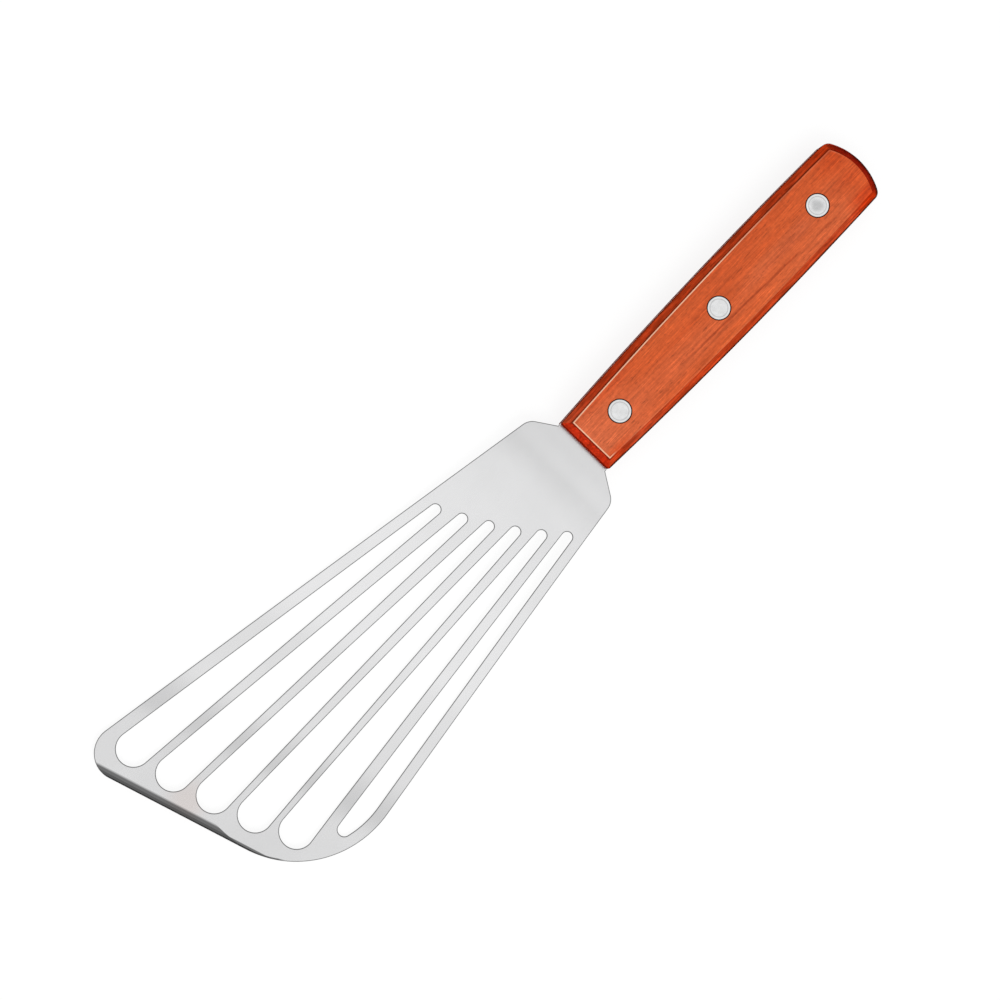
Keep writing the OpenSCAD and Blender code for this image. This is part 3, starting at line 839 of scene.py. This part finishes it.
def wood_material():
    """Oiled redwood whose grain runs along the handle."""
    m, t = new_material("oiled_redwood")
    coords = t.add("ShaderNodeTexCoord").outputs
    where = coords["Object"]
    x, y, _ = t.xyz(where)
    facing_x, _, facing_z = t.xyz(coords["Normal"])
    rim, edge = t.mark("rim"), t.mark("edge")
    figure = t.grain(where, FIGURE, detail=4, roughness=0.6, distortion=0.6)
    broad = t.grain(where, BROAD, (3, 1, 5))
    fibre = t.grain(where, FIBRE, detail=4, roughness=0.7)
    fleck = t.grain(where, FLECK, roughness=0.6)
    mottle = t.noise(where, WOOD_MOTTLE, detail=3, roughness=0.75)
    base = t.blend(t.span(figure, 0.34, 0.66), WOOD_DEEP, WOOD_WARM)
    base = t.blend(t.span(broad, 0.42, 0.72, 0.0, 0.7), base, WOOD_BROAD)
    # Paler towards the front and deeper at the butt
    base = t.blend(t.zone(x, *FRONT_END, 0.0, 0.7), base, WOOD_FRONT)
    base = t.tint(base, BUTT_TINT, t.zone(x, *BUTT_END))
    # Redder patches at two corners and along one edge, and a paler one between two rivets
    from_middle = t.math("ABSOLUTE", t.math("SUBTRACT", x, CORNERS_MID * MM))
    corners = t.product(t.zone(y, *CORNER_SIDE), t.zone(from_middle, *CORNER_ENDS))
    base = t.tint(base, CORNER_TINT, corners)
    flank = t.product(t.zone(y, *FLANK_SIDE), t.zone(x, *FLANK_REAR),
                      t.zone(x, *FLANK_FRONT, 0.4, 1.0))
    base = t.tint(base, FLANK_TINT, flank)
    off_axis = t.math("ABSOLUTE", t.math("SUBTRACT", y, PATCH_Y * MM))
    patch = t.product(t.soft_zone(off_axis, *PATCH_SIDE), t.zone(x, *PATCH_FRONT),
                      t.zone(x, *PATCH_REAR))
    base = t.tint(base, PALE_TINT, patch)
    # A broken dark streak wanders along one side
    line = t.math("ADD", t.product(x, STREAK_SLOPE), STREAK_Y * MM)
    line = t.math("ADD", line, t.product(t.grain(where, WANDER), STREAK_WANDER * MM))
    off_line = t.math("ABSOLUTE", t.math("SUBTRACT", y, line))
    breaks = t.span(t.grain(where, BREAKS), 0.35, 0.6)
    streak = t.product(t.zone(off_line, *STREAK_SIDE, 0.6, 0.0), breaks,
                       t.zone(x, *STREAK_FRONT))
    base = t.blend(streak, base, WOOD_STREAK)
    pale = t.grain(where, PALE, (5, 2, 7))
    shade = t.product(t.span(fibre, 0.25, 0.75, 0.72, 1.27), t.span(fleck, 0.30, 0.38, 0.66, 1.0),
                      t.span(pale, 0.56, 0.68, 1.0, 1.3), t.span(mottle, 0.3, 0.7, 0.86, 1.14))
    colour = t.shade(base, shade)
    # The end grain is darker and redder, partly the wood's own and partly painted shade, shaded at
    # the butt and lit at the front. The sides are darkened with painted shade. Both show more of
    # the grain
    beyond = t.span(rim, 0.5, 1.0)
    ends = t.product(t.span(t.math("POWER", facing_x, 2.0), 0.1, 0.5, 0.0, 0.85), beyond)
    lit_and_shaded_end_grain = t.blend(t.span(facing_x, -0.1, 0.1), BUTT_GRAIN_SHADED, FRONT_GRAIN_LIT)
    colour = t.blend(ends, colour, t.shade(lit_and_shaded_end_grain, shade))
    colour = t.tint(colour, SIDE_SHADE_TINT, t.span(rim, 0.5, 1.0, 0.0, 0.75))
    cut = t.grain(where, CUT, (2, 9, 4), detail=3, roughness=0.65)
    colour = t.shade(colour, t.span(cut, 0.35, 0.65, 0.68, 1.32), beyond)
    # Painted shade on the upright walls
    wall_shade = t.span(t.math("ABSOLUTE", facing_z), 0.3, 0.6, 0.35, 0.0)
    colour = t.tint(colour, WALL_SHADE_TINT, wall_shade)
    # A highlight is painted along the outer face's edge, fainter to the rear, and shade beside it
    painted_highlight = t.product(t.span(edge, 0.0, 1.0), t.span(fibre, 0.3, 0.6, 0.8, 1.0),
                       t.zone(x, *HIGHLIGHT_REAR, 0.12, 1.0))
    colour = t.blend(painted_highlight, colour, WOOD_HIGHLIGHT)
    # Painted shade: dark lines where the edge marks are below 0
    colour = t.blend(t.span(edge, 0.0, -1.0, 0.0, 0.95), colour, WOOD_CREASE_SHADE)
    bump = t.bump(0.3, 0.05, shade)
    rough = t.math("ADD", t.span(rim, 0.5, 1.0, 0.4, 0.95), t.span(mottle, 0.3, 0.7, -0.04, 0.04))
    t.surface(Base_Color=colour, Roughness=rough, Normal=bump, Specular_IOR_Level=0.0,
              Coat_Weight=t.span(rim, 0.5, 1.0, 0.35, 0.0), Coat_Roughness=0.35, Coat_IOR=1.4,
              Coat_Normal=bump)
    return m


def rivet_material():
    """Satin metal with painted shade on its rim and ring. The rear head is darker in its middle."""
    m, t = new_material("satin_rivet")
    where = t.add("ShaderNodeTexCoord").outputs["Object"]
    mottle = t.noise(where, RIVET_MOTTLE, detail=3, roughness=0.6)
    rear_head = (-RIVET_PITCH * MM, 0, HANDLE_T * MM)
    darker_zone = t.soft_zone(t.vector_math("DISTANCE", where, rear_head), *RIVET_MIDDLE)
    # Painted shade on the head's rim and ring, by the rim mark
    tone = t.product(t.span(mottle, 0.3, 0.7, 0.9, 1.05),
                     t.span(t.mark("rim"), 0.0, 1.0, 1.0, 0.62), t.span(darker_zone, 0.0, 1.0, 1.0, 0.72))
    t.surface(Base_Color=t.shade(RIVET, tone), Metallic=1.0,
              Roughness=t.span(mottle, 0.3, 0.7, 0.22, 0.32), Normal=t.bump(0.15, 0.03, mottle))
    return m


# The studio is in metres
FLOOR_HALF, FLOOR_Z = 6.0, -0.0002
FLOOR_GREY, FLOOR_DIM, FLOOR_SEEN = (0.2, 0.2, 0.2, 1), 0.18, 0.84
KEY_AT, KEY_AIM, KEY_SIZE, KEY_WATTS = Vector((0.35, 0.6, 1.5)), Vector((0.05, 0, 0)), 0.7, 5
CAMERA_AT, CAMERA_AIM = Vector((0.144615, -0.058146, 0.95685)), Vector((0.088118, -0.006718, 0))
CAMERA_UP = Vector((-0.71939, -0.69459, 0.00514))
LENS, SENSOR = 111.6, 36
# The light on matt surfaces: overhead, from all round, at +Y, and the least from anywhere
SOFT_OVERHEAD, SOFT_ROUND, SOFT_SIDE, SOFT_LEAST = 1.03, 0.25, 0.20, 0.02
# What glossy surfaces reflect. By the direction's height, from one height to another: the level,
# what a border adds to it, and what is taken off inside the border
PANEL, BORDER, MIDDLE = (0.0, 0.76, 0.6, 0.8), (0.76, 0.88, 0.0, 0.45), (0.90, 0.97, 0.0, 0.20)
# By the direction's x: a darker band and its middle, and a darker part on each side
BAND, BAND_X = (0.02, 0.09, 0.93, 1.0), -0.05
REAR_PART, FRONT_PART = (-0.04, -0.12, 1.0, 0.93), (0.15, 0.22, 1.0, 0.78)


def build_floor():
    """A floor that keeps the shadow, and shows pale to the camera and in reflections."""
    mesh = bpy.data.meshes.new("floor")
    corners = ((-FLOOR_HALF, -FLOOR_HALF), (FLOOR_HALF, -FLOOR_HALF),
               (FLOOR_HALF, FLOOR_HALF), (-FLOOR_HALF, FLOOR_HALF))
    mesh.from_pydata([(x, y, FLOOR_Z) for x, y in corners], [], [(0, 1, 2, 3)])
    floor = bpy.data.objects.new("floor", mesh)
    bpy.context.scene.collection.objects.link(floor)
    m, t = new_material("pale_floor")
    path = t.add("ShaderNodeLightPath").outputs
    seen = t.math("MAXIMUM", path["Is Camera Ray"], path["Is Glossy Ray"])
    seen = t.math("MAXIMUM", seen, path["Is Transmission Ray"])
    plain = t.add("ShaderNodeBsdfDiffuse", {"Color": FLOOR_GREY})
    level = t.span(seen, 0.0, 1.0, FLOOR_DIM, FLOOR_SEEN)
    glow = t.add("ShaderNodeEmission", {"Color": WHITE, "Strength": level})
    total = t.add("ShaderNodeAddShader", {0: plain.outputs[0], 1: glow.outputs[0]})
    t.add("ShaderNodeOutputMaterial", {"Surface": total.outputs[0]})
    mesh.materials.append(m)


def build_world():
    """The light from all round, which is white to the camera."""
    world = bpy.data.worlds.new("studio")
    bpy.context.scene.world = world
    world.use_nodes = True
    t = Nodes(world.node_tree)
    x, y, z = t.xyz(t.add("ShaderNodeTexCoord").outputs["Generated"])
    path = t.add("ShaderNodeLightPath").outputs
    # What lights matt surfaces: a soft light that fades from overhead down, brighter at +Y
    overhead = t.math("MAXIMUM", z, 0.0)
    soft = t.math("ADD", t.product(overhead, overhead, SOFT_OVERHEAD), SOFT_ROUND)
    soft = t.math("MAXIMUM", t.math("ADD", soft, t.product(y, SOFT_SIDE)), SOFT_LEAST)
    # What glossy surfaces reflect: a panel overhead with a brighter border and some darker bands
    panel = t.math("ADD", t.span(z, *PANEL), t.span(z, *BORDER))
    panel = t.math("SUBTRACT", panel, t.span(z, *MIDDLE))
    band = t.math("ABSOLUTE", t.math("SUBTRACT", x, BAND_X))
    panel = t.product(panel, t.span(band, *BAND), t.span(x, *REAR_PART), t.span(x, *FRONT_PART))
    mirror = t.math("MAXIMUM", path["Is Glossy Ray"], path["Is Transmission Ray"])
    matt = t.math("SUBTRACT", 1.0, mirror)
    level = t.math("ADD", t.product(soft, matt), t.product(panel, mirror))
    strength = t.math("MAXIMUM", level, path["Is Camera Ray"])
    back = t.add("ShaderNodeBackground", {"Color": WHITE, "Strength": strength})
    t.add("ShaderNodeOutputWorld", {"Surface": back.outputs[0]})


def build_key_lamp():
    """A lamp that lights matt surfaces and leaves no reflection."""
    data = bpy.data.lights.new("key", "AREA")
    data.shape = "RECTANGLE"
    data.size, data.size_y, data.energy = KEY_SIZE, KEY_SIZE, KEY_WATTS
    lamp = bpy.data.objects.new("key", data)
    lamp.location = KEY_AT
    lamp.rotation_mode = "QUATERNION"
    lamp.rotation_quaternion = (KEY_AIM - KEY_AT).to_track_quat("-Z", "Y")
    lamp.visible_glossy = False
    bpy.context.scene.collection.objects.link(lamp)


def build_camera():
    """The camera, at the photograph's viewing angle."""
    camera = bpy.data.objects.new("camera", bpy.data.cameras.new("camera"))
    camera.data.sensor_width = SENSOR
    camera.data.lens = LENS
    ahead = (CAMERA_AIM - CAMERA_AT).normalized()
    right = ahead.cross(CAMERA_UP).normalized()
    axes = Matrix((right, right.cross(ahead), -ahead)).transposed().to_4x4()
    camera.matrix_world = Matrix.Translation(CAMERA_AT) @ axes
    bpy.context.scene.collection.objects.link(camera)
    bpy.context.scene.camera = camera


steel, wood, rivet = steel_material(), wood_material(), rivet_material()
build_blade(steel)
build_scale("upper_scale_wood", wood, "upper_scale", 1)
build_scale("lower_scale_wood", wood, "lower_scale", -1)
post, socket = rivet_profiles()
for place, x in RIVET_XS.items():
    build_rivet_half(f"rivet_{place}_upper_half", rivet, f"rivet_{place}_post", x, 1, post)
    build_rivet_half(f"rivet_{place}_lower_half", rivet, f"rivet_{place}_socket", x, -1, socket)
build_floor()
build_world()
build_key_lamp()
build_camera()
bpy.context.scene.view_settings.view_transform = "Standard"
